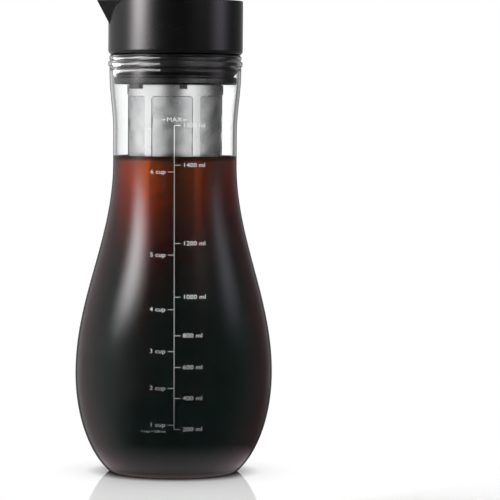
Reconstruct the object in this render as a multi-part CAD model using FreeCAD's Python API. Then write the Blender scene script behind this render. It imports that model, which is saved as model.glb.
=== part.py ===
"""Cold brew coffee maker: a pear-shaped glass carafe, a push-in pouring lid with a pointed beak,
a lift-out cap in the lid, and a fine steel filter hung under the lid on a bayonet.

Millimetres. +Z is up along the axis of the carafe, and z = 0 is the surface that it stands on.
The front is -Y. The lid is drawn turned in the neck, so its beak points left and a little forwards.
"""

import FreeCAD, Part
import math
import os

V = FreeCAD.Vector
ORIGIN, UP = V(0, 0, 0), V(0, 0, 1)
FULL_TURN = 360.0

# ---- carafe: blown glass --------------------------------------------------------------------
GLASS_WALL = 2.0
BELLY_R, BELLY_Z = 59.05, 59.5           # widest point, outside
BELLY_SPREAD, BELLY_DEPTH = 36.2, 65.8   # half axes of the ellipse that turns the belly under
WAIST_R = 37.0                           # narrowest stretch of the neck, outside
WAIST_LOW_Z, WAIST_HIGH_Z = 185.5, 204.0
NECK_FLARE, NECK_TOP = 2.4, 240.6        # the neck opens by this much on its way to the rim
RIM_HEIGHT = 8.8
LIP_PROUD, LIP_DEEP = 0.1, 1.9           # rim, from the top: the lip, out from the neck's flare
GROOVE_CUT, GROOVE_DEEP = 0.6, 2.7       # the hollow under the lip
BEAD_PROUD, BEAD_DEEP = 0.75, 3.7        # the round bead
BEAD_HEIGHT = 2.0
CREASE_CUT, CREASE_DEEP = 0.3, 6.9       # the hollow under the bead
RIDGE_PROUD, RIDGE_DEEP = 0.15, 7.7      # the fine ridge where the rim ends
HEEL_ROUND = 5.0
FLOOR_Z = 2.4                            # inside floor of the glass, at its edge
FLOOR_ROUND = 4.0
PUNT_R, PUNT_RISE = 27.0, 2.2            # shallow hollow under the base
OUTLINE_STEPS = 40

# ---- gaps -------------------------------------------------------------------------------------
FIT_GAP = 0.05                           # between round pieces that are pushed together
RUN_GAP = 0.3                            # between pieces that are moved by hand
SEAL_GAP = 0.3                           # seals to what they seal on, drawn unsqueezed
SEAT_GAP = 0.1                           # seal flange to the glass rim
PLUG_GAP = 0.35                          # plug's flange to the glass
FILTER_GAP = 6.25                        # filter's band to the narrowest glass

# ---- pouring lid ----------------------------------------------------------------------------
BEAK_BEARING = 192.6                     # degrees about +Z from +X
COLLAR_PROUD = 0.85                      # collar's wall, out from the neck's flare
COLLAR_HEIGHT = 32.3
COLLAR_WALL = 2.6
COLLAR_FOOT_WALL = 3.2                   # the collar is thicker round the plug's hub
COLLAR_FOOT_ROUND = 2.7
COLLAR_EDGE_ROUND = 0.5
BOWL_DEPTH, DECK_THICK = 21.0, 3.0       # pouring bowl, and the deck that is its floor
BOWL_ROUND = 2.5
BEAK_REACH = 7.9                         # tip of the beak, out from the collar
BEAK_DROP = 14.5                         # height of the beak on the collar
BEAK_TIP_R = 1.0
BEAK_WALL = 2.4                          # measured along the beak

# ---- plug and seals, in the neck --------------------------------------------------------------
SEAL_FLANGE = 0.6
SEAL_FLANGE_PROUD = 1.6                  # flange over the rim, out from the mouth
SEAL_DEPTH = 3.7                         # mouth of the glass to the plug's core
SEAL_SKIN = 1.35                         # silicone between the lips and the plug
BAND_DEEP, BAND_WIDTH = 0.8, 5.4         # broad sealing band, below the rim
LIP_GAP, LIP_WIDTH = 1.6, 4.0            # slanting lip, below the band
LIP_SLANT = 2.0
LIP_ROUND = 0.4
PLUG_REACH = 17.0                        # underside of the plug's flange, below the rim
PLUG_FLANGE = 4.5
PLUG_FLANGE_ROUND = 1.2
PLUG_WALL = 2.1
PLUG_RIBS, PLUG_RIB_THICK = 6, 1.6
SPIGOT_WALL = 2.25
SPIGOT_LAND = 1.3                        # of the spigot below its grooves
GASKET_THICK = 0.8

# ---- filter ---------------------------------------------------------------------------------
FILTER_LENGTH = 184.0
SHEET = 0.3                              # rolled sleeve and pressed cup
MESH_THICK = 0.2
BAND_THICK = 0.43                        # bayonet band at the top of the filter
BAND_HEIGHT = 5.8
BAND_LAP = 0.9                           # band over sleeve
WINDOWS = 6
WINDOW_BEARING = -4.0                    # middle of the window nearest the front, degrees
RIB_WIDTH = 4.6                          # solid steel between two windows
WINDOW_TOP_MARGIN, WINDOW_FOOT_MARGIN = 1.7, 9.0
WINDOW_ROUND = 1.5
CUP_HEIGHT, CUP_RISE = 7.0, 1.6
CUP_SHOULDER = 7.5                       # flat ring of the cup's floor, round the raised middle
PAD_BEARINGS = (-76.0, 0.6, 77.0, 180.0)  # degrees from the front, keyed so that it fits one way
PAD_SPAN = 9.6                           # degrees
PAD_HEIGHT, PAD_DEPTH = 3.8, 1.1
PAD_TOP_GAP = 0.6                        # below the band's top edge
TWIST = 12.0                             # degrees, to unlock
TAB_BEARINGS = (-53.3, 9.3, 122.0, 200.0)
TAB_SPANS = (19.2, 8.0, 8.0, 19.2)
TAB_HEIGHT, TAB_THICK = 2.6, 1.3

# ---- cap ------------------------------------------------------------------------------------
CAP_SUNK = 1.0                           # below the collar's top edge
CAP_SHEET = 2.2
CAP_GAP = 0.5                            # to the bowl's wall
CAP_EDGE_ROUND = 0.8
WELL_ROUND = 2.0
WELL_TAPER = 3.0                         # the finger well is this much narrower at its floor
WELL_CLEARANCE = 2.4                     # under the well
GRIP_WIDTH, GRIP_ROUND = 8.0, 2.0
STOPPER_GAP = 0.6                        # stopper to bore
STOPPER_WALL = 1.2
STOPPER_FLANGE_PROUD, STOPPER_FLANGE = 3.4, 1.8
CAP_RING_R = 1.2                         # section of the cap's O-ring
CAP_RING_DEEP = 2.4                      # its middle, below the plug's top edge
STOPPER_LAND = 1.8                       # of the stopper below its O-ring groove

# ---- places that follow from the sizes above --------------------------------------------------
NECK_R = WAIST_R + NECK_FLARE
MOUTH_R = NECK_R - GLASS_WALL
RIM_TOP = NECK_TOP + RIM_HEIGHT
COLLAR_R = NECK_R + COLLAR_PROUD
COLLAR_FOOT = RIM_TOP + SEAT_GAP + SEAL_FLANGE
COLLAR_TOP = COLLAR_FOOT + COLLAR_HEIGHT
BOWL_R = COLLAR_R - COLLAR_WALL
DECK_TOP = COLLAR_TOP - BOWL_DEPTH
DECK_FOOT = DECK_TOP - DECK_THICK
HUB_ROOM_R = COLLAR_R - COLLAR_FOOT_WALL
PLUG_CORE_R = MOUTH_R - SEAL_DEPTH
PLUG_TOP = DECK_FOOT - GASKET_THICK
PLUG_FOOT = RIM_TOP - PLUG_REACH
BAND_OUT_R = WAIST_R - GLASS_WALL - FILTER_GAP
BAND_IN_R = BAND_OUT_R - BAND_THICK
BAND_TOP = PLUG_FOOT - RUN_GAP
BAND_FOOT = BAND_TOP - BAND_HEIGHT
SLEEVE_R = BAND_IN_R - FIT_GAP
SLEEVE_IN_R = SLEEVE_R - SHEET
SLEEVE_TOP = BAND_FOOT + BAND_LAP
FILTER_FOOT = BAND_TOP - FILTER_LENGTH
SPIGOT_R = SLEEVE_IN_R - RUN_GAP
BORE_R = SPIGOT_R - SPIGOT_WALL
PAD_TOP = BAND_TOP - PAD_TOP_GAP
PAD_FOOT = PAD_TOP - PAD_HEIGHT
PAD_IN_R = BAND_OUT_R - PAD_DEPTH - BAND_THICK
SPIGOT_FOOT = PAD_FOOT - RUN_GAP - SPIGOT_LAND
CAP_TOP = COLLAR_TOP - CAP_SUNK
CAP_UNDER = CAP_TOP - CAP_SHEET
STOPPER_R = BORE_R - STOPPER_GAP
WELL_UNDER = DECK_TOP + STOPPER_FLANGE + WELL_CLEARANCE
WELL_TOP_R = STOPPER_R - STOPPER_WALL - CAP_EDGE_ROUND - CAP_SHEET
WELL_FOOT_R = WELL_TOP_R - WELL_TAPER
CAP_RING_Z = PLUG_TOP - CAP_RING_DEEP
CAP_RING_MIDDLE_R = BORE_R - SEAL_GAP - CAP_RING_R


# ---- ways of making a solid -------------------------------------------------------------------
def rounded_outline(corners):
    """Closed outline in the XZ plane. A corner is (radius from the axis, z) or those and a rounding."""
    spots = []
    for i, corner in enumerate(corners):
        here, back, ahead = (V(corners[k][0], 0, corners[k][1])
                             for k in (i, i - 1, (i + 1) % len(corners)))
        rounding = corner[2] if len(corner) > 2 else 0.0
        if not rounding:
            spots.append((here, None, here))
            continue
        to_back, to_ahead = (back - here).normalize(), (ahead - here).normalize()
        half = to_back.getAngle(to_ahead) / 2
        reach = rounding / math.tan(half)
        centre = here + (to_back + to_ahead).normalize() * (rounding / math.sin(half))
        middle = centre + (here - centre).normalize() * rounding
        spots.append((here + to_back * reach, middle, here + to_ahead * reach))
    edges = []
    for i, (entry, middle, leave) in enumerate(spots):
        if middle is not None:
            edges.append(Part.Arc(entry, middle, leave).toShape())
        following = spots[(i + 1) % len(spots)][0]
        if (following - leave).Length > 1e-6:
            edges.append(Part.LineSegment(leave, following).toShape())
    return Part.Wire(edges)


def spun(wire, span=FULL_TURN):
    """The solid that a closed outline sweeps about the axis."""
    return Part.Face(wire).revolve(ORIGIN, UP, span)


def turned(*corners):
    return spun(rounded_outline(corners))


def sector(r_in, r_out, z_low, z_high, bearing, span):
    """A block of a ring, centred on a bearing in degrees about +Z from +X."""
    block = spun(rounded_outline([(r_in, z_low), (r_out, z_low), (r_out, z_high), (r_in, z_high)]), span)
    block.rotate(ORIGIN, UP, bearing - span / 2)
    return block


def from_front(bearing):
    """A bearing from the front, positive to the right, as one about +Z from +X."""
    return bearing - 90.0


# ---- carafe -----------------------------------------------------------------------------------
def half_wave(r_from, z_from, r_to, z_to, z):
    """A radius that goes from one value to another in half a cosine, upright at both ends."""
    share = (z - z_from) / (z_to - z_from)
    return (r_from + r_to) / 2 + (r_from - r_to) / 2 * math.cos(math.pi * share)


def glass_radius(z):
    """Outside radius of the glass: an ellipse under the belly, a half wave in to the waist, one out to the rim."""
    if z <= BELLY_Z:
        return BELLY_R - BELLY_SPREAD * (1 - math.sqrt(1 - ((BELLY_Z - z) / BELLY_DEPTH) ** 2))
    if z <= WAIST_LOW_Z:
        return half_wave(BELLY_R, BELLY_Z, WAIST_R, WAIST_LOW_Z, z)
    if z <= WAIST_HIGH_Z:
        return WAIST_R
    return half_wave(WAIST_R, WAIST_HIGH_Z, NECK_R, NECK_TOP, z)


def wall_point(z, depth):
    """The point this deep inside the glass's outer face, square to the face at height z."""
    step = 0.01
    along = V(glass_radius(z + step) - glass_radius(z), 0, step).normalize()
    return V(glass_radius(z), 0, z) + V(-along.z, 0, along.x) * depth


def glass_body(depth, foot):
    """Everything inside the glass's side, taken this deep in its wall, from the foot to the neck's top."""
    start = foot
    for _ in range(8):
        start -= wall_point(start, depth).z - foot
    heights = [start + (NECK_TOP - start) * i / OUTLINE_STEPS for i in range(OUTLINE_STEPS)]
    points = [wall_point(z, depth) for z in heights] + [V(NECK_R - depth, 0, NECK_TOP)]
    side = Part.BSplineCurve()
    side.interpolate(points)
    corners = [points[-1], V(0, 0, NECK_TOP), V(0, 0, points[0].z), points[0]]
    ends = [Part.LineSegment(a, b).toShape() for a, b in zip(corners, corners[1:])]
    return spun(Part.Wire([side.toShape(), *ends])), points[0]


def rounded_foot(body, foot, rounding):
    """That body with the corner between its flat foot and its side rounded."""
    rings = [e for e in body.Edges if isinstance(e.Curve, Part.Circle) and abs(e.Curve.Center.z - foot.z) < 1e-4]
    return body.makeFillet(rounding, [min(rings, key=lambda e: abs(e.Curve.Radius - foot.x))])


def dome(radius, rise, lift):
    """The ball whose cap is that wide and high, its edge lifted off z = 0."""
    ball_r = (radius ** 2 + rise ** 2) / (2 * rise)
    return Part.makeSphere(ball_r, V(0, 0, lift + rise - ball_r))


def carafe():
    outer = rounded_foot(*glass_body(0.0, 0.0), HEEL_ROUND)
    room = rounded_foot(*glass_body(GLASS_WALL, FLOOR_Z), FLOOR_ROUND).cut(dome(PUNT_R, PUNT_RISE, FLOOR_Z))
    rim = turned(
        (MOUTH_R, NECK_TOP - GLASS_WALL),
        (NECK_R, NECK_TOP - GLASS_WALL),
        (NECK_R, RIM_TOP - RIDGE_DEEP - 2 * RIDGE_PROUD),
        (NECK_R + RIDGE_PROUD, RIM_TOP - RIDGE_DEEP, RIDGE_PROUD),
        (NECK_R - CREASE_CUT, RIM_TOP - CREASE_DEEP, CREASE_CUT),
        (NECK_R + BEAD_PROUD, RIM_TOP - BEAD_DEEP - BEAD_HEIGHT, BEAD_HEIGHT / 3),
        (NECK_R + BEAD_PROUD, RIM_TOP - BEAD_DEEP, BEAD_HEIGHT / 3),
        (NECK_R - GROOVE_CUT, RIM_TOP - GROOVE_DEEP, GROOVE_CUT / 2),
        (NECK_R + LIP_PROUD, RIM_TOP - LIP_DEEP, GROOVE_CUT / 2),
        (NECK_R + LIP_PROUD, RIM_TOP, GLASS_WALL / 3),
        (MOUTH_R, RIM_TOP, GLASS_WALL / 3),
    )
    mouth = Part.makeCylinder(MOUTH_R, 2 * RIM_HEIGHT, V(0, 0, NECK_TOP))
    return outer.fuse(rim).cut(room).cut(mouth).cut(dome(PUNT_R, PUNT_RISE, 0.0)).removeSplitter()


# ---- pouring lid ------------------------------------------------------------------------------
def beak(root_r, reach, tip_r, drop):
    """A pointed beak along +X: two flats from the round root meet at the tip and run to a point below."""
    lean = math.acos((root_r - tip_r) / (reach - tip_r))
    cos, sin = math.cos(lean), math.sin(lean)
    root_left, root_right = (V(root_r * cos, side * root_r * sin, COLLAR_TOP) for side in (1, -1))
    tip_left, tip_right = (V(reach - tip_r + tip_r * cos, side * tip_r * sin, COLLAR_TOP) for side in (1, -1))
    top = Part.Wire([
        Part.LineSegment(root_left, tip_left).toShape(),
        Part.Arc(tip_left, V(reach, 0, COLLAR_TOP), tip_right).toShape(),
        Part.LineSegment(tip_right, root_right).toShape(),
        Part.LineSegment(root_right, root_left).toShape(),
    ])
    return Part.makeLoft([top, Part.Vertex(V(root_r, 0, COLLAR_TOP - drop))], True)


def pour_collar():
    foot_spot = (COLLAR_R, COLLAR_FOOT, COLLAR_FOOT_ROUND)
    shell = turned((0, COLLAR_FOOT), foot_spot, (COLLAR_R, COLLAR_TOP), (0, COLLAR_TOP))
    shell = shell.fuse(beak(COLLAR_R, COLLAR_R + BEAK_REACH, BEAK_TIP_R, BEAK_DROP)).removeSplitter()
    brim = [e for e in shell.Edges if all(abs(v.Z - COLLAR_TOP) < 1e-6 for v in e.Vertexes)]
    shell = shell.makeFillet(COLLAR_EDGE_ROUND, brim)
    above = COLLAR_TOP + COLLAR_WALL
    bowl = turned((0, DECK_TOP), (BOWL_R, DECK_TOP, BOWL_ROUND), (BOWL_R, above), (0, above))
    hub_room = Part.makeCylinder(HUB_ROOM_R, DECK_FOOT - COLLAR_FOOT, V(0, 0, COLLAR_FOOT))
    bore = Part.makeCylinder(BORE_R, COLLAR_HEIGHT, V(0, 0, COLLAR_FOOT))
    channel = beak(BOWL_R, COLLAR_R + BEAK_REACH - BEAK_WALL, BEAK_TIP_R / 2, BEAK_DROP)
    return shell.cut(bowl).cut(hub_room).cut(bore).cut(channel).removeSplitter()


def neck_plug():
    """Hollow plug: a flange and a core in the neck, a hub in the collar, and the filter's spigot below."""
    flange_r = glass_radius(PLUG_FOOT) - GLASS_WALL - PLUG_GAP
    flange_top = PLUG_FOOT + PLUG_FLANGE
    hub_r = HUB_ROOM_R - FIT_GAP
    hub_floor = COLLAR_FOOT + PLUG_WALL
    pocket_floor = PLUG_FOOT + PLUG_WALL
    tube_r = BORE_R + PLUG_WALL
    body = turned(
        (BORE_R, SPIGOT_FOOT),
        (SPIGOT_R, SPIGOT_FOOT, SPIGOT_WALL / 5),
        (SPIGOT_R, PLUG_FOOT),
        (flange_r, PLUG_FOOT, PLUG_FLANGE_ROUND),
        (flange_r, flange_top, PLUG_FLANGE_ROUND),
        (PLUG_CORE_R, flange_top),
        (PLUG_CORE_R, COLLAR_FOOT),
        (hub_r, COLLAR_FOOT),
        (hub_r, PLUG_TOP),
        (hub_r - PLUG_WALL, PLUG_TOP),
        (hub_r - PLUG_WALL, hub_floor),
        (PLUG_CORE_R - PLUG_WALL, hub_floor),
        (PLUG_CORE_R - PLUG_WALL, pocket_floor),
        (tube_r, pocket_floor),
        (tube_r, PLUG_TOP),
        (BORE_R, PLUG_TOP),
    )
    half_wall = PLUG_WALL / 2
    rib = Part.makeBox(PLUG_CORE_R - tube_r, PLUG_RIB_THICK, hub_floor - pocket_floor + half_wall,
                       V(tube_r - half_wall, -PLUG_RIB_THICK / 2, pocket_floor - half_wall))
    for i in range(PLUG_RIBS):
        body = body.fuse(rib.rotated(ORIGIN, UP, (i + 0.5) * FULL_TURN / PLUG_RIBS))
    for bearing in PAD_BEARINGS:
        body = body.cut(bayonet_groove(from_front(bearing)))
    tab_in = BAND_OUT_R + RUN_GAP
    for bearing, span in zip(TAB_BEARINGS, TAB_SPANS):
        body = body.fuse(sector(tab_in, tab_in + TAB_THICK, PLUG_FOOT - TAB_HEIGHT, PLUG_FOOT + half_wall,
                                from_front(bearing), span))
    return body.removeSplitter()


def bayonet_groove(bearing):
    """Room for one pad of the filter: up from the spigot's foot, then a twist back to its place."""
    span = PAD_SPAN + 2 * math.degrees(RUN_GAP / SPIGOT_R)
    floor_r, past_r = PAD_IN_R - RUN_GAP, SPIGOT_R + SPIGOT_WALL
    roof = PAD_TOP + RUN_GAP
    run = sector(floor_r, past_r, PAD_FOOT - RUN_GAP, roof, bearing + TWIST / 2, span + TWIST)
    way_in = sector(floor_r, past_r, SPIGOT_FOOT - SPIGOT_LAND, roof, bearing + TWIST, span)
    return run.fuse(way_in)


def lip_seal():
    """Silicone sleeve on the plug: a flange over the glass rim, a broad band and a slanting lip."""
    lip_r = MOUTH_R - SEAL_GAP
    in_r = PLUG_CORE_R + FIT_GAP
    skin_r = in_r + SEAL_SKIN
    foot = PLUG_FOOT + PLUG_FLANGE
    band_top = RIM_TOP - BAND_DEEP
    band_foot = band_top - BAND_WIDTH
    lip_top = band_foot - LIP_GAP
    lip_foot = lip_top - LIP_WIDTH
    flange_r = MOUTH_R + SEAL_FLANGE_PROUD
    return turned(
        (in_r, foot),
        (skin_r, foot),
        (skin_r, lip_foot),
        (lip_r, lip_foot + LIP_SLANT, LIP_SLANT / 2),
        (lip_r, lip_top, LIP_ROUND),
        (skin_r, lip_top),
        (skin_r, band_foot),
        (lip_r, band_foot, LIP_ROUND),
        (lip_r, band_top, LIP_ROUND),
        (skin_r, band_top),
        (skin_r, RIM_TOP + SEAT_GAP),
        (flange_r, RIM_TOP + SEAT_GAP, SEAL_FLANGE / 3),
        (flange_r, COLLAR_FOOT, SEAL_FLANGE / 3),
        (in_r, COLLAR_FOOT),
    )


def deck_gasket():
    """Flat silicone ring that seals the plug's tube to the underside of the deck."""
    return turned((BORE_R + FIT_GAP, PLUG_TOP), (BORE_R + PLUG_WALL, PLUG_TOP),
                  (BORE_R + PLUG_WALL, DECK_FOOT), (BORE_R + FIT_GAP, DECK_FOOT))


# ---- filter -----------------------------------------------------------------------------------
def filter_band():
    """Steel band round the filter's top, with a pad pressed inwards at each bayonet station."""
    band = turned((BAND_IN_R, BAND_FOOT), (BAND_OUT_R, BAND_FOOT), (BAND_OUT_R, BAND_TOP), (BAND_IN_R, BAND_TOP))
    rim_span = math.degrees(BAND_THICK / BAND_OUT_R)
    for bearing in PAD_BEARINGS:
        at = from_front(bearing)
        band = band.fuse(sector(PAD_IN_R, BAND_OUT_R, PAD_FOOT, PAD_TOP, at, PAD_SPAN))
        band = band.cut(sector(PAD_IN_R + BAND_THICK, BAND_OUT_R + 1, PAD_FOOT + BAND_THICK,
                               PAD_TOP - BAND_THICK, at, PAD_SPAN - 2 * rim_span))
    return band.removeSplitter()


def filter_sleeve():
    """Rolled steel sheet with tall windows, and solid ribs and bands between them."""
    foot = FILTER_FOOT + SHEET
    sleeve = turned((SLEEVE_IN_R, foot), (SLEEVE_R, foot), (SLEEVE_R, SLEEVE_TOP), (SLEEVE_IN_R, SLEEVE_TOP))
    pitch = FULL_TURN / WINDOWS
    window_span = pitch - math.degrees(RIB_WIDTH / SLEEVE_R)
    for i in range(WINDOWS):
        window = sector(SLEEVE_IN_R - SHEET, SLEEVE_R + SHEET, FILTER_FOOT + WINDOW_FOOT_MARGIN,
                        SLEEVE_TOP - WINDOW_TOP_MARGIN, from_front(WINDOW_BEARING + i * pitch), window_span)
        corners = [e for e in window.Edges if isinstance(e.Curve, Part.Line)
                   and abs(e.Vertexes[0].Z - e.Vertexes[-1].Z) < 1e-6]
        sleeve = sleeve.cut(window.makeFillet(WINDOW_ROUND, corners))
    return sleeve


def filter_mesh():
    """The fine mesh that the windows show, as one thin tube inside the sleeve."""
    out_r = SLEEVE_IN_R - FIT_GAP
    foot, top = FILTER_FOOT + SHEET, SPIGOT_FOOT - RUN_GAP
    return turned((out_r - MESH_THICK, foot), (out_r, foot), (out_r, top), (out_r - MESH_THICK, top))


def filter_cup():
    """Pressed steel cup that closes the filter's foot, its floor raised in the middle."""
    in_r = SLEEVE_R + FIT_GAP
    out_r = in_r + SHEET
    slope_r = SLEEVE_R - CUP_SHOULDER
    rise_r = slope_r - CUP_RISE
    floor, raised = FILTER_FOOT, FILTER_FOOT + CUP_RISE
    shift = SHEET * math.tan(math.pi / 8)
    bend = 2 * SHEET
    return turned(
        (0, raised),
        (rise_r, raised, 2 * bend),
        (slope_r, floor, bend),
        (out_r, floor, SHEET),
        (out_r, floor + CUP_HEIGHT),
        (in_r, floor + CUP_HEIGHT),
        (in_r, floor + SHEET),
        (slope_r + shift, floor + SHEET, bend + SHEET),
        (rise_r + shift, raised + SHEET, 2 * bend - SHEET),
        (0, raised + SHEET),
    )


# ---- cap --------------------------------------------------------------------------------------
def top_cap():
    """Flat disc that closes the bowl, with a well for the fingers and a grip bar across it."""
    edge_r = BOWL_R - CAP_GAP
    floor = WELL_UNDER + CAP_SHEET
    disc = turned(
        (0, WELL_UNDER),
        (WELL_FOOT_R + CAP_SHEET, WELL_UNDER, WELL_ROUND),
        (WELL_TOP_R + CAP_SHEET, CAP_UNDER, CAP_EDGE_ROUND),
        (edge_r, CAP_UNDER, CAP_EDGE_ROUND / 2),
        (edge_r, CAP_TOP, CAP_EDGE_ROUND),
        (WELL_TOP_R, CAP_TOP, CAP_EDGE_ROUND),
        (WELL_FOOT_R, floor, WELL_ROUND),
        (0, floor),
    )
    bar = Part.makeBox(2 * WELL_TOP_R, GRIP_WIDTH, CAP_TOP - floor, V(-WELL_TOP_R, -GRIP_WIDTH / 2, floor))
    top_edges = [e for e in bar.Edges if all(abs(v.Z - CAP_TOP) < 1e-6 for v in e.Vertexes)
                 and abs(e.Vertexes[0].Y - e.Vertexes[-1].Y) < 1e-6]
    half_sheet = CAP_SHEET / 2
    room = turned((0, WELL_UNDER), (WELL_FOOT_R + half_sheet, WELL_UNDER),
                  (WELL_TOP_R + half_sheet, CAP_TOP), (0, CAP_TOP))
    return disc.fuse(bar.makeFillet(GRIP_ROUND, top_edges).common(room)).removeSplitter()


def cap_stopper():
    """Hollow stopper under the cap: its flange sits on the deck and its foot goes into the bore."""
    half = CAP_RING_R + FIT_GAP
    groove_r = CAP_RING_MIDDLE_R - half
    foot = CAP_RING_Z - half - STOPPER_LAND
    flange_top = DECK_TOP + STOPPER_FLANGE
    flange_r = STOPPER_R + STOPPER_FLANGE_PROUD
    neck_r = groove_r - STOPPER_WALL
    return turned(
        (0, foot),
        (STOPPER_R, foot, STOPPER_LAND / 2),
        (STOPPER_R, CAP_RING_Z - half),
        (groove_r, CAP_RING_Z - half),
        (groove_r, CAP_RING_Z + half),
        (STOPPER_R, CAP_RING_Z + half),
        (STOPPER_R, DECK_TOP),
        (flange_r, DECK_TOP, STOPPER_FLANGE / 4),
        (flange_r, flange_top, STOPPER_FLANGE / 2),
        (STOPPER_R, flange_top, STOPPER_FLANGE / 2),
        (STOPPER_R, CAP_UNDER),
        (STOPPER_R - STOPPER_WALL, CAP_UNDER),
        (STOPPER_R - STOPPER_WALL, DECK_TOP),
        (neck_r, DECK_TOP - STOPPER_WALL),
        (neck_r, foot + STOPPER_WALL),
        (0, foot + STOPPER_WALL),
    )


def cap_seal():
    """O-ring on the stopper."""
    return Part.makeTorus(CAP_RING_MIDDLE_R, CAP_RING_R, V(0, 0, CAP_RING_Z))


# ---- the assembly -------------------------------------------------------------------------------
def in_lid_place(shape):
    """Turns a piece drawn with the beak along +X to where the lid stands in the neck."""
    return shape.rotated(ORIGIN, UP, BEAK_BEARING)


PIECES = {
    "carafe": carafe,
    "pour_collar": lambda: in_lid_place(pour_collar()),
    "neck_plug": neck_plug,
    "lip_seal": lip_seal,
    "deck_gasket": deck_gasket,
    "top_cap": lambda: in_lid_place(top_cap()),
    "cap_stopper": cap_stopper,
    "cap_seal": cap_seal,
    "filter_band": filter_band,
    "filter_sleeve": filter_sleeve,
    "filter_mesh": filter_mesh,
    "filter_cup": filter_cup,
}


def main():
    os.makedirs("parts", exist_ok=True)
    for name, make in PIECES.items():
        shape = make()
        solids = shape.Solids
        shape = solids[0] if len(solids) == 1 else Part.Compound(solids)
        shape.exportStep(f"parts/{name}.step")
        print(f"{name}: {len(solids)} solid, valid {shape.isValid()}, {shape.Volume / 1000:.2f} cm3")


main()
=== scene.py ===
"""Cold brew coffee maker: the looks of each piece, from the carafe up to the cap.

Metres. +Z is up along the carafe's axis, z = 0 is the table, and the front, with the printed
scale, faces -Y.
"""

import math

import bpy
import numpy as np
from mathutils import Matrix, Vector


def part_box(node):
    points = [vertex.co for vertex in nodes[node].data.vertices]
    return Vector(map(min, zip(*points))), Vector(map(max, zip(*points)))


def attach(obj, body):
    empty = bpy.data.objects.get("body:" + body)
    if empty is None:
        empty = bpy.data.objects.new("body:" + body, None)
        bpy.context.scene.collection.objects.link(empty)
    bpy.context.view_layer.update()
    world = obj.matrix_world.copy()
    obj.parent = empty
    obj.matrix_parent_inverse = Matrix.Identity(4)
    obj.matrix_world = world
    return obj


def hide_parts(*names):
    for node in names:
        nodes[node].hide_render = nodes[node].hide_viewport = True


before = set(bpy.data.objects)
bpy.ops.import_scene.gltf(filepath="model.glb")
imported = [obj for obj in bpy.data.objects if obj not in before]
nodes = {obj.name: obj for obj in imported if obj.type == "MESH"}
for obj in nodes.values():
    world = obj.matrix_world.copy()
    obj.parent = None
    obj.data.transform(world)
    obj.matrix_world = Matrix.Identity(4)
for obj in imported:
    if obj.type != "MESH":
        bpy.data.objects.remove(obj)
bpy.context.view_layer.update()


# ==== carafe ===================================================================================
# Pear-shaped borosilicate glass, blown in a mould, 2 mm thick. The rim is fire-polished, with a
# lip, a hollow, a round bead and a fine ridge; the base is pushed up into a shallow hollow.
GLASS_WALL = 0.0020
BELLY_R, BELLY_Z = 0.05905, 0.0595
BELLY_SPREAD, BELLY_DEPTH = 0.0362, 0.0658
WAIST_R, WAIST_LOW_Z, WAIST_HIGH_Z = 0.0370, 0.1855, 0.204
NECK_R, NECK_TOP, RIM_TOP = 0.0394, 0.2406, 0.2494
MOUTH_R = NECK_R - GLASS_WALL
HEEL_ROUND, HEEL_TOP = 0.005, 0.0018
FLOOR_Z, FLOOR_ROUND, FLOOR_ROUND_RISE = 0.0024, 0.004, 0.0030
PUNT_R, PUNT_RISE = 0.027, 0.0022
SIDE_STEPS, ARC_STEPS, DOME_STEPS, SPOKES = 96, 6, 14, 256
SLOPE_STEP = 0.002      # height over which a single slope is taken
NECK_TO_RIM = 0.0006    # the outside stops this far under NECK_TOP and runs straight to the rim
LIP_ROUND, HOLLOW_ROUND = 0.00067, 0.0003
# The rim from the neck up: metres out from the neck, metres under the top, and the rounding.
RIM_CORNERS = [
    (0.0, 0.0080, 0.0),                 # end of the neck
    (0.00015, 0.0077, 0.00015),         # fine ridge
    (-0.0003, 0.0069, HOLLOW_ROUND),    # hollow under the bead
    (0.00075, 0.0057, LIP_ROUND),       # foot of the bead
    (0.00075, 0.0037, LIP_ROUND),       # top of the bead
    (-0.0006, 0.0027, HOLLOW_ROUND),    # hollow under the lip
    (0.0001, 0.0019, HOLLOW_ROUND),     # foot of the lip
    (0.0001, 0.0, LIP_ROUND),           # top of the lip
]
# A ring just under the mouth's edge keeps the shading of its round off the straight wall.
MOUTH_RING_DROP = 0.0010
COFFEE_LEVEL = 0.1893


def half_wave(r_from, z_from, r_to, z_to, z):
    """Radius that goes from one value to the other in half a cosine over the height."""
    share = np.clip((z - z_from) / (z_to - z_from), 0.0, 1.0)
    return (r_from + r_to) / 2 + (r_from - r_to) / 2 * np.cos(np.pi * share)


def glass_radius(z):
    """Outside radius: an ellipse under the belly, half a cosine in to the waist, and one out."""
    under = np.sqrt(1 - (np.clip(BELLY_Z - z, 0.0, BELLY_DEPTH) / BELLY_DEPTH) ** 2)
    body = BELLY_R - BELLY_SPREAD * (1 - under)
    shoulder = half_wave(BELLY_R, BELLY_Z, WAIST_R, WAIST_LOW_Z, z)
    neck = half_wave(WAIST_R, WAIST_HIGH_Z, NECK_R, NECK_TOP, z)
    return np.select([z <= BELLY_Z, z <= WAIST_LOW_Z], [body, shoulder], neck)


def glass_side(z_low, z_high, depth, steps=SIDE_STEPS):
    """(r, z) points this deep in the wall: the outside radius moved square to its own slope."""
    z = np.linspace(z_low, z_high, steps)
    slope = np.gradient(glass_radius(z), z)
    length = np.hypot(slope, 1.0)
    return np.stack([glass_radius(z) - depth / length, z + depth * slope / length], axis=1)


def room_radius(z, depth):
    """Radius of the side at one height, this deep in the wall."""
    return float(glass_side(z, z + SLOPE_STEP, depth, 2)[0, 0])


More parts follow.
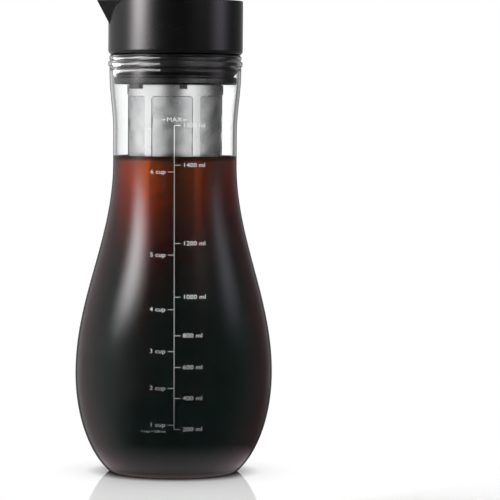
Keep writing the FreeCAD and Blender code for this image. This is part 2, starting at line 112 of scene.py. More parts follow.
def rounded_profile(corners):
    """(r, z) points of a run of straight lines. A corner given as (r, z, rounding) becomes an arc.

    The arc touches both lines. Its points are its two ends, as seen from its centre, each weighed
    by the sine of the angle left to the other.
    """
    points = []
    for i, (r, z, rounding) in enumerate((*corner, 0.0)[:3] for corner in corners):
        here = np.array([r, z])
        if not rounding:
            points.append(here[None])
            continue
        back, ahead = (np.array(corners[k][:2]) - here for k in (i - 1, i + 1))
        back, ahead = back / np.linalg.norm(back), ahead / np.linalg.norm(ahead)
        half = np.arccos(np.clip(back @ ahead, -1, 1)) / 2
        reach, sag = rounding / np.tan(half), rounding / np.sin(half)
        bisector = (back + ahead) / np.linalg.norm(back + ahead)
        centre = here + bisector * sag
        start, end = here + back * reach - centre, here + ahead * reach - centre
        share = np.linspace(0, 1, ARC_STEPS)[:, None]
        turn = np.pi - 2 * half
        arc = (np.sin((1 - share) * turn) * start + np.sin(share * turn) * end) / np.sin(turn)
        points.append(centre + arc)
    return np.concatenate(points)


def dome_profile(radius, rise, z_edge):
    """(r, z) points of a ball's cap, axis to edge: z follows the square root of ball^2 - r^2."""
    ball = (radius ** 2 + rise ** 2) / (2 * rise)
    r = np.linspace(0.0, radius, DOME_STEPS)
    return np.stack([r, z_edge + rise - ball + np.sqrt(ball ** 2 - r ** 2)], axis=1)


def piece(name, vertices, faces, body, *materials, smooth=True):
    """A mesh object at the origin that rides on a body. One of the stage has no body."""
    mesh = bpy.data.meshes.new(name)
    mesh.from_pydata(vertices, [], faces)
    mesh.polygons.foreach_set("use_smooth", np.full(len(mesh.polygons), smooth))
    for material in materials:
        mesh.materials.append(material)
    mesh.validate()
    made = bpy.data.objects.new(name, mesh)
    bpy.context.scene.collection.objects.link(made)
    if body:
        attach(made, body)
    return made


def grid_faces(rows, columns, first=0):
    """Quads of a grid whose columns close on themselves, counted row by row from an index."""
    row, column = np.meshgrid(np.arange(rows - 1), np.arange(columns), indexing="ij")
    ahead = (column + 1) % columns
    low, high = row * columns, (row + 1) * columns
    corners = [low + column, low + ahead, high + ahead, high + column]
    return (first + np.stack(corners, axis=-1)).reshape(-1, 4).tolist()


def ring(spokes):
    """The indices round a ring, and those of their neighbours ahead."""
    here = np.arange(spokes)
    return here, (here + 1) % spokes


def swept(r, z, angle):
    """Points of rings about Z, row by row: x = r cos a, y = r sin a."""
    rings = np.stack([r * np.cos(angle), r * np.sin(angle), z + 0 * angle], axis=-1)
    return rings.reshape(-1, 3)


def lathe(profile, spokes=SPOKES):
    """Vertices and faces of a profile from axis to axis, swept about Z and closed at each pole."""
    angle = np.linspace(0, 2 * np.pi, spokes, endpoint=False)
    rings = swept(profile[1:-1, 0][:, None], profile[1:-1, 1][:, None], angle)
    poles = np.array([[0, 0, profile[0, 1]], [0, 0, profile[-1, 1]]])
    count, rows = len(rings), len(profile) - 2
    here, ahead = ring(spokes)
    last = (rows - 1) * spokes
    foot = np.stack([np.full(spokes, count), ahead, here], axis=1).tolist()
    crown = np.stack([last + here, last + ahead, np.full(spokes, count + 1)], axis=1).tolist()
    return np.concatenate([rings, poles]).tolist(), grid_faces(rows, spokes) + foot + crown


class Socket:
    """An output in a node tree. Arithmetic on it adds Math nodes, and add() any other node."""

    def __init__(self, tree, output):
        self.tree, self.output = tree, output

    @classmethod
    def of(cls, owner):
        """An empty node tree on a material or world."""
        owner.use_nodes = True
        owner.node_tree.nodes.clear()
        return cls(owner.node_tree, None)

    def add(self, kind, settings=None, inputs=None, output=0):
        """A new node: its settings, then each named socket's value or link. Gives an output."""
        node = self.tree.nodes.new(kind)
        for name, value in (settings or {}).items():
            if name == "stops":
                stops = node.color_ramp.elements
                for stop, (at, colour) in zip([*stops, *[None] * (len(value) - 2)], value):
                    stop = stop or stops.new(at)
                    stop.position, stop.color = at, colour
            else:
                setattr(node, name, value)
        for name, value in (inputs or {}).items():
            if isinstance(value, Socket):
                self.tree.links.new(value.output, node.inputs[name])
            else:
                node.inputs[name].default_value = value
        return Socket(self.tree, node.outputs[output]) if len(node.outputs) else None

    def math(self, operation, *terms):
        """A Math node on these terms."""
        return self.add("ShaderNodeMath", {"operation": operation}, dict(enumerate(terms)))

    def __add__(self, other):
        return self.math("ADD", self, other)

    def __sub__(self, other):
        return self.math("SUBTRACT", self, other)

    def __rsub__(self, other):
        return self.math("SUBTRACT", other, self)

    def __mul__(self, other):
        return self.math("MULTIPLY", self, other)

    def __truediv__(self, other):
        return self.math("DIVIDE", self, other)

    def __pow__(self, other):
        return self.math("POWER", self, other)

    __radd__, __rmul__ = __add__, __mul__

    def ease(self, low, high):
        """0 below one value, 1 above the other, and a smooth step between them."""
        return self.add("ShaderNodeMapRange", {"interpolation_type": "SMOOTHSTEP"},
                        {"Value": self, "From Min": low, "From Max": high})

    def blend(self, here, there):
        """The first colour where this is 0, and the second where it is 1."""
        return self.add("ShaderNodeMix", {"data_type": "RGBA"}, {0: self, 6: here, 7: there}, 2)

    def axis(self, letter):
        """One of the three parts of a vector."""
        return self.add("ShaderNodeSeparateXYZ", None, {0: self}, letter)


def new_finish(name):
    """A new material, and the tree that its nodes go into."""
    material = bpy.data.materials.new(name)
    return material, Socket.of(material)


def grey(level):
    """A colour with no hue."""
    return (level, level, level, 1)


def light_path(tree, name):
    """What Cycles knows of a ray, such as whether it tests for shadow."""
    return tree.add("ShaderNodeLightPath", None, None, name)


def blown_glass(name, mirror, outline, darkness):
    """Clear glass that casts no hard shadow, with a thin dark outline of painted shade where it is
    seen edge on.

    The outline starts and is full at two values of facing, from 0, square on, to 1, edge on.
    """
    material, tree = new_finish(name)
    glass = tree.add("ShaderNodeBsdfPrincipled", None, {
        "Base Color": (0.99, 0.995, 0.995, 1), "Roughness": 0.0, "IOR": 1.47,
        "Transmission Weight": 1.0, "Specular Tint": grey(mirror)})
    # Painted shade: a dark, dull surface mixed in where the glass is seen edge on.
    painted_edge_shade = tree.add("ShaderNodeBsdfPrincipled", None, {
        "Base Color": (0.03, 0.024, 0.026, 1), "Roughness": 0.5, "Specular IOR Level": 0.0})
    facing = tree.add("ShaderNodeLayerWeight", None, {"Blend": 0.5}, "Facing")
    outlined = tree.add("ShaderNodeMixShader", None, {
        0: facing.ease(*outline) * darkness, 1: glass, 2: painted_edge_shade})
    clear = tree.add("ShaderNodeBsdfTransparent", None, {"Color": (0.95, 0.96, 0.96, 1)})
    surface = tree.add("ShaderNodeMixShader", None, {
        0: light_path(tree, "Is Shadow Ray"), 1: outlined, 2: clear})
    tree.add("ShaderNodeOutputMaterial", None, {"Surface": surface})
    return material


def carafe_profile():
    """Under the base and up the outside, over the rim, and down the inside to the floor."""
    foot_r = float(glass_radius(np.array(0.0)))
    outside = glass_side(HEEL_TOP, NECK_TOP - NECK_TO_RIM, 0.0)
    rim = [(NECK_R + out, RIM_TOP - under, rounding) for out, under, rounding in RIM_CORNERS]
    mouth = [(MOUTH_R, RIM_TOP, LIP_ROUND), (MOUTH_R, RIM_TOP - MOUTH_RING_DROP)]
    inside = glass_side(FLOOR_Z + FLOOR_ROUND_RISE, NECK_TOP, GLASS_WALL)[::-1]
    floor_edge = (room_radius(FLOOR_Z, GLASS_WALL), FLOOR_Z, FLOOR_ROUND)
    return np.concatenate([
        dome_profile(PUNT_R, PUNT_RISE, 0.0),
        rounded_profile([(PUNT_R, 0.0), (foot_r, 0.0, HEEL_ROUND), *map(tuple, outside), *rim,
                         *mouth, *map(tuple, inside), floor_edge, (PUNT_R, FLOOR_Z)])[1:-1],
        dome_profile(PUNT_R, PUNT_RISE, FLOOR_Z)[::-1],
    ])


# The glass is one surface with three finishes: bare above the brew, and below it one outside and
# one inside, where the wetted wall has no mirror of its own.
carafe_glass = piece("carafe_glass", *lathe(carafe_profile()), "carafe",
                     blown_glass("dry_glass", mirror=1.0, outline=(0.84, 0.90), darkness=0.75),
                     blown_glass("filled_glass", mirror=1.0, outline=(0.77, 0.84), darkness=0.85),
                     blown_glass("wetted_glass", mirror=0.0, outline=(0.90, 0.98), darkness=0.0))
centres = np.empty(len(carafe_glass.data.polygons) * 3)
carafe_glass.data.polygons.foreach_get("center", centres)
centres = centres.reshape(-1, 3)
centre_r, centre_z = np.hypot(centres[:, 0], centres[:, 1]), centres[:, 2]
in_wall = centre_r < glass_radius(centre_z) - GLASS_WALL / 2
within = in_wall & (centre_z > (FLOOR_Z + PUNT_RISE) / 2)
finishes = np.where(centre_z < COFFEE_LEVEL, 1 + within, 0).astype(np.int32)
carafe_glass.data.polygons.foreach_set("material_index", finishes)
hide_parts("carafe")


# ==== cold coffee ==============================================================================
# The brew fills the carafe to just under the 1500 ml mark, wets the glass all round and climbs a
# little at its edge. It reaches a tenth of a millimetre into the wall, so no air shows between.
MENISCUS_RISE, MENISCUS_WIDTH = 0.0007, 0.0012
COFFEE_OVERLAP = 0.0001
SURFACE_RINGS, FIRST_RING, CALM_FROM = 12, 0.0002, 0.008
# Painted shade: between these heights a dark band lies just under the surface.
PAINTED_SHADE_FOOT, PAINTED_SHADE_TOP = COFFEE_LEVEL - 0.0026, COFFEE_LEVEL - 0.0004


def cold_coffee():
    """Clear brown liquid that takes blue first, then green, and red last.

    It is a little turbid: green where the side is seen square on, and redder and thicker towards
    its edges, where the red is a painted reflection tint. A dark band of painted shade lies just
    under the surface, where the meniscus turns light away.
    """
    loss_per_metre = 390.0
    kept_colour = (0.77, 0.45, 0.01, 1)
    material, tree = new_finish("cold_coffee")
    liquid = tree.add("ShaderNodeBsdfPrincipled", None, {
        "Base Color": (1, 1, 1, 1), "Roughness": 0.40, "IOR": 1.33, "Transmission Weight": 1.0,
        "Specular Tint": (0, 0, 0, 1)})
    edge_on = tree.add("ShaderNodeLayerWeight", None, {"Blend": 0.5}, "Facing").ease(0.06, 0.26)
    # Partly painted light: towards the edges this scatter turns redder and thicker, a painted
    # reflection tint.
    haze_and_painted_tint = tree.add("ShaderNodeBsdfPrincipled", None, {
        "Base Color": edge_on.blend((0.30, 0.95, 0.85, 1), (0.60, 0.14, 0.20, 1)),
        "Roughness": 0.9, "Specular IOR Level": 0.0})
    body = tree.add("ShaderNodeMixShader", None, {0: edge_on * 0.055 + 0.017, 1: liquid, 2: haze_and_painted_tint})
    # Painted shade: a dark, dull band mixed in just under the surface.
    dark = tree.add("ShaderNodeBsdfDiffuse", None, {"Color": (0.02, 0.01, 0.006, 1)})
    height = tree.add("ShaderNodeTexCoord", None, None, "Object").axis("Z")
    shaded = height.ease(PAINTED_SHADE_FOOT, PAINTED_SHADE_TOP) * 0.75
    surface = tree.add("ShaderNodeMixShader", None, {0: shaded, 1: body, 2: dark})
    depth = tree.add("ShaderNodeVolumeAbsorption", None, {
        "Color": kept_colour, "Density": loss_per_metre})
    tree.add("ShaderNodeOutputMaterial", None, {"Surface": surface, "Volume": depth})
    return material


def coffee_profile():
    """Along the floor, up the wall, and in over the surface.

    The surface rises towards the glass by a falling exponential of the distance from it.
    """
    depth = GLASS_WALL - COFFEE_OVERLAP
    side = glass_side(FLOOR_Z + FLOOR_ROUND_RISE, COFFEE_LEVEL + MENISCUS_RISE, depth)
    floor_z = FLOOR_Z - COFFEE_OVERLAP
    floor_edge = (room_radius(floor_z, depth), floor_z, FLOOR_ROUND)
    wall = rounded_profile([(PUNT_R, floor_z), floor_edge, *map(tuple, side)])
    edge_r = side[-1, 0]
    steep = np.linspace(FIRST_RING, 4 * MENISCUS_WIDTH, SURFACE_RINGS)
    calm = np.linspace(CALM_FROM, edge_r, SURFACE_RINGS)
    inward = edge_r - np.concatenate([steep, calm])
    climb = MENISCUS_RISE * np.exp((inward - edge_r) / MENISCUS_WIDTH)
    top = np.stack([inward, COFFEE_LEVEL + climb], axis=1)
    return np.concatenate([dome_profile(PUNT_R, PUNT_RISE, floor_z)[:-1], wall, top])


piece("cold_coffee", *lathe(coffee_profile()), "carafe", cold_coffee())


# ==== printed scale ============================================================================
# White ceramic ink, screen printed on the outside of the glass and fired: one upright line with
# millilitres on its right and cups on its left. Over the brew the ink's colour is painted grey,
# darker towards the foot, as shade for the dark brew behind it; over the neck it is white.
INK_LIFT = 0.00005
LINE_WIDTH, LINE_STEPS, TICK_STEPS = 0.00042, 90, 4
LINE_LEAN, LEAN_PIVOT = 0.0045, 0.104
ML_MARKS = {200: 0.0313, 400: 0.0498, 600: 0.0679, 800: 0.0862,
            1000: 0.1084, 1200: 0.1393, 1400: 0.1850, 1500: 0.2083}
CUP_MARKS = {1: 0.0339, 2: 0.0557, 3: 0.0771, 4: 0.1012, 5: 0.1326, 6: 0.1810}
MAX_Z, DASH, DASH_X = 0.2116, 0.0022, 0.0063
TICK, TEXT_GAP = 0.0034, 0.0016
FIGURE_HEIGHT = 0.0027
NOTE_Z, NOTE_HEIGHT = 0.0299, 0.0015
# Blender's own font: how tall a figure is in it, then how it is widened, thinned and spaced.
FONT_FIGURE, FONT_WIDEN, FONT_THIN, FONT_SPACING, FONT_STEPS = 0.73, 1.14, -0.006, 1.02, 3
WHITE_FROM, WHITE_TO = 0.188, 0.196


def white_ink(name, foot, body):
    """Matte white ink, painted grey over the coffee as shade for the dark brew behind it, from its
    foot to its body, and white over the neck.

    The foot and the body are each given as a height and a grey.
    """
    material, tree = new_finish(name)
    height = tree.add("ShaderNodeTexCoord", None, None, "Object").axis("Z")
    # Painted shade: over the brew the ink is greyed, darker towards the foot.
    painted_brew_shade = height.ease(foot[0], body[0]).blend(grey(foot[1]), grey(body[1]))
    ink = tree.add("ShaderNodeBsdfPrincipled", None, {
        "Base Color": height.ease(WHITE_FROM, WHITE_TO).blend(painted_brew_shade, grey(0.98)),
        "Roughness": 0.7, "Specular IOR Level": 0.2})
    tree.add("ShaderNodeOutputMaterial", None, {"Surface": ink})
    return material


def on_glass(flat):
    """(x, z) points leant a little, then wrapped on the front: x is arc length at that radius."""
    z = flat[:, 1]
    x = flat[:, 0] - LINE_LEAN * (z - LEAN_PIVOT)
    r = glass_radius(z) + INK_LIFT
    return np.stack([r * np.sin(x / r), -r * np.cos(x / r), z], axis=1)


def strip_faces(steps):
    """Quads between two edges of points, the second counted after the first."""
    here = np.arange(steps)
    return np.stack([here, here + 1, here + steps + 2, here + steps + 1], axis=1).tolist()


def level_line(x_low, x_high, z):
    """A strip along x, centred on a height, as flat vertices and quads."""
    along = np.linspace(x_low, x_high, TICK_STEPS + 1)
    edges = [np.stack([along, np.full(TICK_STEPS + 1, z + side * LINE_WIDTH / 2)], axis=1)
             for side in (-1, 1)]
    return np.concatenate(edges), strip_faces(TICK_STEPS)


def upright_line(z_low, z_high):
    """A strip along z in the middle, as flat vertices and quads."""
    along = np.linspace(z_low, z_high, LINE_STEPS + 1)
    edges = [np.stack([np.full(LINE_STEPS + 1, side * LINE_WIDTH / 2), along], axis=1)
             for side in (1, -1)]
    return np.concatenate(edges), strip_faces(LINE_STEPS)


def lettering(words, x, z, height, align):
    """Words as a flat mesh, their figures centred on a height: vertices in (x, z), and faces."""
    curve = bpy.data.curves.new("lettering", "FONT")
    curve.body, curve.align_x, curve.align_y = words, align, "CENTER"
    curve.resolution_u = FONT_STEPS
    curve.offset, curve.space_character = FONT_THIN, FONT_SPACING
    holder = bpy.data.objects.new("lettering", curve)
    mesh = bpy.data.meshes.new_from_object(holder)
    letters = np.array([v.co[:2] for v in mesh.vertices])
    flat = letters * (FONT_WIDEN, 1.0) * height / FONT_FIGURE + (x, z)
    faces = [list(p.vertices) for p in mesh.polygons]
    bpy.data.objects.remove(holder)
    bpy.data.meshes.remove(mesh)
    return flat, faces


TICK_FROM, TEXT_FROM = LINE_WIDTH / 2, TICK + TEXT_GAP
lines = [upright_line(ML_MARKS[200], ML_MARKS[1500])]
figures = [lettering("1 cup = 230 ml", -TEXT_FROM, NOTE_Z, NOTE_HEIGHT, "RIGHT"),
           lettering("MAX", 0.0, MAX_Z, FIGURE_HEIGHT, "CENTER")]
for middle in (-DASH_X, DASH_X):
    lines.append(level_line(middle - DASH / 2, middle + DASH / 2, MAX_Z))
for amount, z in ML_MARKS.items():
    lines.append(level_line(TICK_FROM, TICK_FROM + TICK, z))
    figures.append(lettering(f"{amount} ml", TEXT_FROM, z, FIGURE_HEIGHT, "LEFT"))
for amount, z in CUP_MARKS.items():
    lines.append(level_line(-TICK_FROM - TICK, -TICK_FROM, z))
    figures.append(lettering(f"{amount} cup", -TEXT_FROM, z, FIGURE_HEIGHT, "RIGHT"))

line_ink = white_ink("line_ink", foot=(0.018, 0.12), body=(0.085, 0.41))
figure_ink = white_ink("figure_ink", foot=(0.045, 0.36), body=(0.115, 0.86))
for name, marks, ink in (("scale_lines", lines, line_ink), ("scale_figures", figures, figure_ink)):
    starts = np.cumsum([0] + [len(flat) for flat, _ in marks])
    ink_faces = [[int(start) + v for v in face]
                 for start, (_, faces) in zip(starts, marks) for face in faces]
    printed = on_glass(np.concatenate([flat for flat, _ in marks]))
    piece(name, printed.tolist(), ink_faces, "carafe", ink, smooth=False)


# ==== filter ===================================================================================
# A rolled steel sleeve with six tall windows, a band with pressed bayonet pads round its top, a
# pressed cup that closes its foot, and a fine woven mesh rolled up inside it behind the windows.
MESH_OUT_R, MESH_THICKNESS = 0.02792, 0.0002
MESH_ROWS, MESH_SPOKES = 200, 240
MESH_SAG, HELD_END = 0.0004, 0.01
MIDDLE_DIP = 1.6
WIRES_ROUND, WIRES_PER_METRE = 440, 2500.0


def brushed_sheet():
    """Satin stainless sheet: fine level lines round the piece, and a slow drift in its gloss."""
    material, tree = new_finish("brushed_sheet")
    place = tree.add("ShaderNodeTexCoord", None, None, "Object")
    stretched = tree.add("ShaderNodeVectorMath", {"operation": "MULTIPLY"}, {
        0: place, 1: (60.0, 60.0, 6000.0)})
    brushed = tree.add("ShaderNodeTexNoise", None, {
        "Vector": stretched, "Scale": 1.0, "Detail": 2.0})
    drift = tree.add("ShaderNodeTexNoise", None, {"Vector": place, "Scale": 90.0, "Detail": 1.0})
    relief = tree.add("ShaderNodeBump", None, {
        "Strength": 0.12, "Distance": 0.00002, "Height": brushed})
    steel = tree.add("ShaderNodeBsdfPrincipled", None, {
        "Base Color": brushed.blend(grey(0.86), grey(0.95)), "Metallic": 0.96,
        "Roughness": drift * 0.12 + 0.20, "Normal": relief})
    tree.add("ShaderNodeOutputMaterial", None, {"Surface": steel})
    return material


def woven_mesh():
    """Plain weave of fine wire: two sine waves at right angles, multiplied, as relief.

    A slow cloud changes how pale and how rough it is, as handling does.
    """
    material, tree = new_finish("woven_mesh")
    place = tree.add("ShaderNodeTexCoord", None, None, "Object")
    x, y, z = (place.axis(letter) for letter in "XYZ")
    warp = tree.math("SINE", tree.math("ARCTAN2", y, x) * WIRES_ROUND)
    weft = tree.math("SINE", z * (2 * math.pi * WIRES_PER_METRE))
    wire = warp * weft * 0.5 + 0.5
    cloud = tree.add("ShaderNodeTexNoise", None, {
        "Vector": place, "Scale": 110.0, "Detail": 0.0}).ease(0.30, 0.70)
    thread = cloud.blend((0.72, 0.72, 0.73, 1), grey(0.97))
    relief = tree.add("ShaderNodeBump", None, {
        "Strength": 0.35, "Distance": 0.00006, "Height": wire})
    steel = tree.add("ShaderNodeBsdfPrincipled", None, {
        "Base Color": thread, "Metallic": 0.94, "Roughness": cloud * 0.1 + 0.27, "Normal": relief})
    tree.add("ShaderNodeOutputMaterial", None, {"Surface": steel})
    return material


def mesh_liner():
    """A thin tube whose radius dips by up to MESH_SAG, and not at all at its two ends.

    The dip follows a sine round the tube times one up it, plus half a sine that climbs across
    them. That comes to 1.5 at most, so with the middle dip added the radius never grows.
    """
    low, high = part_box("filter_mesh")
    angle = np.linspace(0, 2 * np.pi, MESH_SPOKES, endpoint=False)[None]
    z = np.linspace(low.z, high.z, MESH_ROWS)[:, None]
    patches = np.sin(8 * angle + 60 * z) * np.sin(420 * z + 1.3)
    ripple = patches + 0.5 * np.sin(9 * angle - 620 * z + 0.7)
    held = np.clip(np.minimum(z - low.z, high.z - z) / HELD_END, 0, 1)
    outer = MESH_OUT_R - MESH_SAG * held * (MIDDLE_DIP + ripple) / (2 * MIDDLE_DIP)
    walls = [swept(r, z, angle) for r in (outer, outer - MESH_THICKNESS)]
    inner, top = MESH_ROWS * MESH_SPOKES, (MESH_ROWS - 1) * MESH_SPOKES
    outside = grid_faces(MESH_ROWS, MESH_SPOKES)
    inside = [face[::-1] for face in grid_faces(MESH_ROWS, MESH_SPOKES, inner)]
    here, ahead = ring(MESH_SPOKES)
    foot_rim = np.stack([here, here + inner, ahead + inner, ahead], axis=1)
    top_rim = np.stack([ahead, ahead + inner, here + inner, here], axis=1) + top
    return np.concatenate(walls).tolist(), outside + inside + foot_rim.tolist() + top_rim.tolist()


steel_sheet = brushed_sheet()
for name in ("filter_sleeve", "filter_band", "filter_cup"):
    nodes[name].data.materials[0] = steel_sheet
liner = piece("mesh_liner", *mesh_liner(), "filter", woven_mesh())
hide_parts("filter_mesh")


# ==== seals ====================================================================================
# Black silicone, pressed in moulds and pushed into place: a lipped sleeve round the plug, a flat
# ring under the deck and the cap's O-ring.
def silicone():
    """Smooth satin rubber with a faint bloom."""
    material, tree = new_finish("silicone")
    place = tree.add("ShaderNodeTexCoord", None, None, "Object")
    bloom = tree.add("ShaderNodeTexNoise", None, {"Vector": place, "Scale": 140.0, "Detail": 3.0})
    rubber = tree.add("ShaderNodeBsdfPrincipled", None, {
        "Base Color": bloom.blend(grey(0.002), grey(0.004)),
        "Roughness": bloom * 0.12 + 0.24, "Specular IOR Level": 0.8})
    tree.add("ShaderNodeOutputMaterial", None, {"Surface": rubber})
    return material


black_silicone = silicone()
for name in ("lip_seal", "deck_gasket", "cap_seal"):
    nodes[name].data.materials[0] = black_silicone


# ==== plug, collar and cap =====================================================================
# Black polypropylene, injection moulded in tools with a fine spark-eroded grain, so the outside
# is matte. The collar with its beak, the plug under it, the cap and its stopper are one finish.
def grained_plastic():
    """Matte black with a grain under half a millimetre across, and gloss that wear changes."""
    material, tree = new_finish("grained_plastic")
    place = tree.add("ShaderNodeTexCoord", None, None, "Object")
    grain = tree.add("ShaderNodeTexNoise", None, {"Vector": place, "Scale": 2600.0, "Detail": 2.0})
    wear = tree.add("ShaderNodeTexNoise", None, {"Vector": place, "Scale": 60.0, "Detail": 3.0})
    relief = tree.add("ShaderNodeBump", None, {
        "Strength": 0.25, "Distance": 0.00004, "Height": grain})
    plastic = tree.add("ShaderNodeBsdfPrincipled", None, {
        "Base Color": wear.blend(grey(0.0010), grey(0.0020)),
        "Roughness": wear * 0.06 + 0.235, "Specular IOR Level": 1.0, "Normal": relief})
    tree.add("ShaderNodeOutputMaterial", None, {"Surface": plastic})
    return material


black_plastic = grained_plastic()
for name in ("pour_collar", "neck_plug", "top_cap", "cap_stopper"):
    nodes[name].data.materials[0] = black_plastic


# ==== table ====================================================================================
# A round white acrylic table top, polished enough to mirror the belly. It fades out at its edge.
# Gloss on the object sees it glow as it sees the room above it, with painted shade under the foot
# and a painted pale ring beside it.
TABLE_R, TABLE_THICKNESS, TABLE_SPOKES = 0.40, 0.01, 128
# Distances from the axis between which the painted contact shadow ends, the painted pale ring comes
# up, the room's greys take over from it, and the top fades out.
PAINTED_SHADOW_ENDS, PAINTED_PALE_RING = (0.0365, 0.055), (0.037, 0.045)
ROOM_GREYS, TOP_FADES = (0.043, 0.074), (0.12, 0.28)
ROOM = [
    (-180, 0.03), (-145, 0.05), (-110, 0.40), (-88, 0.44), (-72, 0.40), (-45, 0.40), (-26, 0.44),
    (-17, 0.90), (-11, 0.20), (-8, 0.05), (8, 0.05), (11, 0.20), (17, 0.50), (30, 0.20),
    (45, 0.12), (60, 0.08), (80, 0.07), (110, 0.06), (140, 0.04), (180, 0.03),
]


def bearing_of(place):
    """Degrees about the axis from the back, +X positive."""
    return place.math("ARCTAN2", place.axis("X"), place.axis("Y")) * (180 / math.pi)


def round_the_room(place, levels):
    """A grey for each bearing about the axis, from a list of (bearing, grey)."""
    stops = [((bearing + 180) / 360, grey(level)) for bearing, level in levels]
    share = bearing_of(place) * (1 / 360) + 0.5
    return place.add("ShaderNodeValToRGB", {"stops": stops}, {"Fac": share})


def more_than(tree, count, depth):
    """1 for a ray that has gone more than this many steps of a kind, such as Glossy Depth."""
    return light_path(tree, depth).ease(count + 0.4, count + 0.6)


def white_acrylic():
    """White with a soft mirror on it, a painted shadow under the foot, clear towards the edge of
    the top.
    """
    material, tree = new_finish("white_acrylic")
    material.cycles.emission_sampling = "NONE"
    place = tree.add("ShaderNodeTexCoord", None, None, "Object")
    out = tree.add("ShaderNodeVectorMath", {"operation": "LENGTH"}, {0: place}, "Value")
    # Painted contact shadow: the top's colour and its glow for the camera go dark round the foot.
    clear_of_painted_shadow = out.ease(*PAINTED_SHADOW_ENDS)
    acrylic = tree.add("ShaderNodeBsdfPrincipled", None, {
        "Base Color": clear_of_painted_shadow.blend(grey(0.02), grey(0.985)), "Roughness": 0.06,
        "Specular IOR Level": 0.13, "Emission Color": clear_of_painted_shadow.blend(grey(0), grey(1)),
        "Emission Strength": light_path(tree, "Is Camera Ray") * 0.16})
    clear = tree.add("ShaderNodeBsdfTransparent")
    top = tree.add("ShaderNodeMixShader", None, {0: out.ease(*TOP_FADES), 1: acrylic, 2: clear})
    # Gloss sees the table glow: painted shade under the foot, then a painted pale ring beside it.
    painted_foot_shade_and_ring = out.ease(*PAINTED_PALE_RING).blend((0.10, 0.08, 0.08, 1), (0.75, 0.64, 0.68, 1))
    seen = out.ease(*ROOM_GREYS).blend(painted_foot_shade_and_ring, round_the_room(place, ROOM))
    in_gloss = tree.add("ShaderNodeEmission", None, {"Color": seen})
    surface = tree.add("ShaderNodeMixShader", None, {
        0: more_than(tree, 0, "Glossy Depth"), 1: top, 2: in_gloss})
    tree.add("ShaderNodeOutputMaterial", None, {"Surface": surface})
    return material


table_profile = np.array([
    (0.0, -TABLE_THICKNESS), (TABLE_R, -TABLE_THICKNESS), (TABLE_R, 0.0), (0.0, 0.0)])
table_top = piece("table_top", *lathe(table_profile, TABLE_SPOKES), None, white_acrylic(),
                  smooth=False)


# ==== studio ===================================================================================
# A white room, seen directly and through the glass. Gloss sees dark cloths in front, a pale card
# low behind, a tall leaning lamp on the left and fainter ones on the right and in front. Behind
# the glass it sees white screens instead, in the brew brighter ones, and in the rim a level strip.
SCREENS = [
    (-180, 0.10), (-164, 0.14), (-154, 0.45), (-144, 0.85), (-134, 1.05), (-124, 1.10),
    (-112, 1.10), (-101, 1.15), (-88, 1.0), (-73, 0.80), (-54, 0.60), (-28, 0.35), (-18, 0.20),
    (18, 0.10), (30, 0.04), (60, 0.02), (78, 0.05), (92, 0.24), (104, 0.48), (116, 0.70),
    (127, 0.95), (138, 1.15), (148, 1.15), (158, 0.90), (168, 0.35), (180, 0.10),
]
THROUGH_BREW = [
    (-180, 0.08), (-166, 0.12), (-154, 0.3), (-146, 0.75), (-136, 1.3), (-125, 1.5), (-112, 2.6),
    (-98, 3.3), (-85, 3.2), (-62, 2.6), (-50, 3.6), (-26, 4.2), (-8, 2.0), (8, 1.0), (26, 1.2),
    (48, 0.5), (60, 0.2), (80, 0.15), (92, 0.3), (104, 0.6), (116, 0.8), (126, 0.75), (136, 0.6),
    (148, 0.4), (164, 0.2), (180, 0.08),
]
# Degrees between which each part of the set begins or ends: half widths about its own bearing,
# feet and tops in elevation.
CARD_HALF, CARD_FOOT, CARD_TOP = (7, 9), (0.5, 1.5), (12, 16)
STRIP_BEARING, STRIP_HALF, STRIP_FOOT, STRIP_TOP = -94, (56, 60), (-0.6, 0.2), (10, 16)
CEILING_STARTS, FLOOR_ENDS, SCREENS_FADE = (52, 66), (-28, -18), (12, 24)
CARD_LIGHT, CEILING_LIGHT, FLOOR_LIGHT, STRIP_LIGHT, BACKDROP_LIGHT = 1.0, 1.6, 0.12, 14.0, 1.22
SCREENS_DIMMED = 0.8
# A lamp's panel is this many times its glow's width to each side and its height up and down.
PANEL_WIDE, PANEL_TALL, BELL_STEEPNESS = 2.0, 1.5, 2.8


def soft_lamp(name, bearing, out, height, width, tall, lean, colour):
    """An upright panel beside the set, seen only in gloss on this side of the glass.

    Its light falls off as a bell curve about a leaning line: e to the power of minus a steepness
    times the sum of (x / width)^2 and (z / tall)^2, with x measured from the line.
    """
    turn = math.radians(bearing)
    to_lamp = np.array([math.sin(turn), math.cos(turn), 0.0])
    across = np.array([-to_lamp[1], to_lamp[0], 0.0])
    corners = [to_lamp * out + across * side * PANEL_WIDE * width
               + (0, 0, height + up * PANEL_TALL * tall)
               for side, up in ((-1, -1), (1, -1), (1, 1), (-1, 1))]
    material, tree = new_finish(name)
    material.cycles.emission_sampling = "NONE"
    place = tree.add("ShaderNodeTexCoord", None, None, "Object")
    over = tree.add("ShaderNodeVectorMath", {"operation": "DOT_PRODUCT"}, {
        0: place, 1: tuple(across)}, "Value")
    up = place.axis("Z") - height
    spread = ((over - up * lean) / width) ** 2 + (up / tall) ** 2
    bell = tree.math("EXPONENT", spread * -BELL_STEEPNESS)
    glow = tree.add("ShaderNodeEmission", None, {"Color": (*colour, 1)})
    clear = tree.add("ShaderNodeBsdfTransparent")
    this_side = 1 - more_than(tree, 2, "Transmission Depth")
    seen = more_than(tree, 0, "Glossy Depth") * this_side * bell
    surface = tree.add("ShaderNodeMixShader", None, {0: seen, 1: clear, 2: glow})
    tree.add("ShaderNodeOutputMaterial", None, {"Surface": surface})
    panel = [tuple(corner) for corner in corners]
    piece(name, panel, [(0, 1, 2, 3)], None, material, smooth=False)


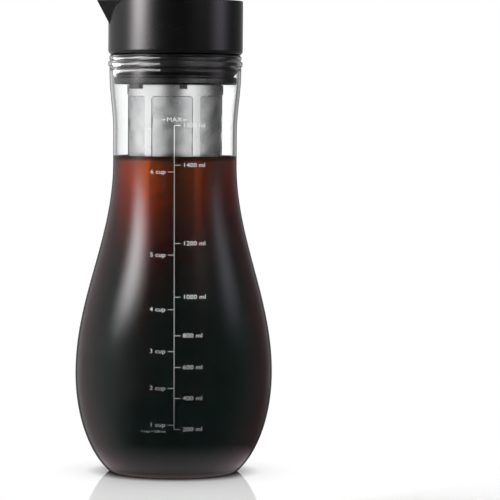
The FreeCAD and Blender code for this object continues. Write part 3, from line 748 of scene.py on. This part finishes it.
def studio():
    """Colour by direction, and by how a ray came.

    Seen directly it is white. Gloss outside sees the greys round the room with the card, the
    ceiling and the dark floor. A ray that the glass turns back from its inner face also sees the
    strip. Gloss behind the glass sees the screens, which dim off the level, and gloss behind the
    brew the brighter ones.
    """
    world = bpy.data.worlds.new("studio")
    world.cycles.sampling_method = "NONE"
    tree = Socket.of(world)
    direction = tree.add("ShaderNodeTexCoord", None, None, "Generated")
    azimuth = bearing_of(direction)
    elevation = tree.math("ARCSINE", direction.axis("Z")) * (180 / math.pi)

    off_card = tree.math("ABSOLUTE", azimuth).ease(*CARD_HALF)
    card = elevation.ease(*CARD_FOOT) * (1 - off_card) * (1 - elevation.ease(*CARD_TOP))
    above_floor = elevation.ease(*FLOOR_ENDS)
    room = above_floor.blend(grey(FLOOR_LIGHT), round_the_room(direction, ROOM))
    with_card = card.blend(room, grey(CARD_LIGHT))
    outside = elevation.ease(*CEILING_STARTS).blend(with_card, grey(CEILING_LIGHT))

    off_strip = tree.math("ABSOLUTE", azimuth - STRIP_BEARING).ease(*STRIP_HALF)
    strip = elevation.ease(*STRIP_FOOT) * (1 - elevation.ease(*STRIP_TOP)) * (1 - off_strip)
    in_rim = strip * more_than(tree, 1, "Transmission Depth")
    rim = in_rim.blend(outside, grey(STRIP_LIGHT))

    off_level = tree.math("ABSOLUTE", elevation).ease(*SCREENS_FADE) * SCREENS_DIMMED
    screens = off_level.blend(round_the_room(direction, SCREENS), grey(0))
    neck = more_than(tree, 2, "Transmission Depth").blend(rim, screens)
    brew = round_the_room(direction, THROUGH_BREW)
    in_gloss = more_than(tree, 4, "Transmission Depth").blend(neck, brew)

    unscattered = 1 - more_than(tree, 0, "Diffuse Depth")
    through_glass = more_than(tree, 0, "Transmission Depth") * unscattered
    backdrop = through_glass.blend(grey(1), grey(BACKDROP_LIGHT))
    seen = more_than(tree, 0, "Glossy Depth").blend(backdrop, in_gloss)
    light = tree.add("ShaderNodeBackground", None, {"Color": seen, "Strength": 1.0})
    tree.add("ShaderNodeOutputWorld", None, {"Surface": light})
    bpy.context.scene.world = world


def camera():
    """A long lens as high as the carafe's neck, tilted down, with the carafe left of the middle."""
    distance, height, lens, sensor = 1.720, 0.223, 206.4, 36.0
    yaw, pitch, roll = (math.radians(angle) for angle in (-1.512, -2.978, 0.40))
    data = bpy.data.cameras.new("camera")
    data.lens, data.sensor_width = lens, sensor
    made = bpy.data.objects.new("camera", data)
    made.location = (0.0, -distance, height)
    made.rotation_euler = (math.pi / 2 + pitch, 0.0, yaw)
    made.rotation_euler.rotate_axis("Z", roll)
    bpy.context.scene.collection.objects.link(made)
    bpy.context.scene.camera = made


soft_lamp("lamp_left", bearing=-120.3, out=0.56, height=0.375, width=0.21, tall=0.215, lean=0.55,
          colour=(11.4, 10.9, 11.1))
soft_lamp("lamp_right", bearing=101.0, out=0.60, height=0.36, width=0.24, tall=0.21, lean=0.0,
          colour=(1.22, 1.11, 1.30))
soft_lamp("lamp_front", bearing=138.0, out=0.60, height=0.50, width=0.26, tall=0.26, lean=0.0,
          colour=(0.44, 0.42, 0.42))
studio()
camera()
bpy.context.scene.view_settings.view_transform = "Standard"
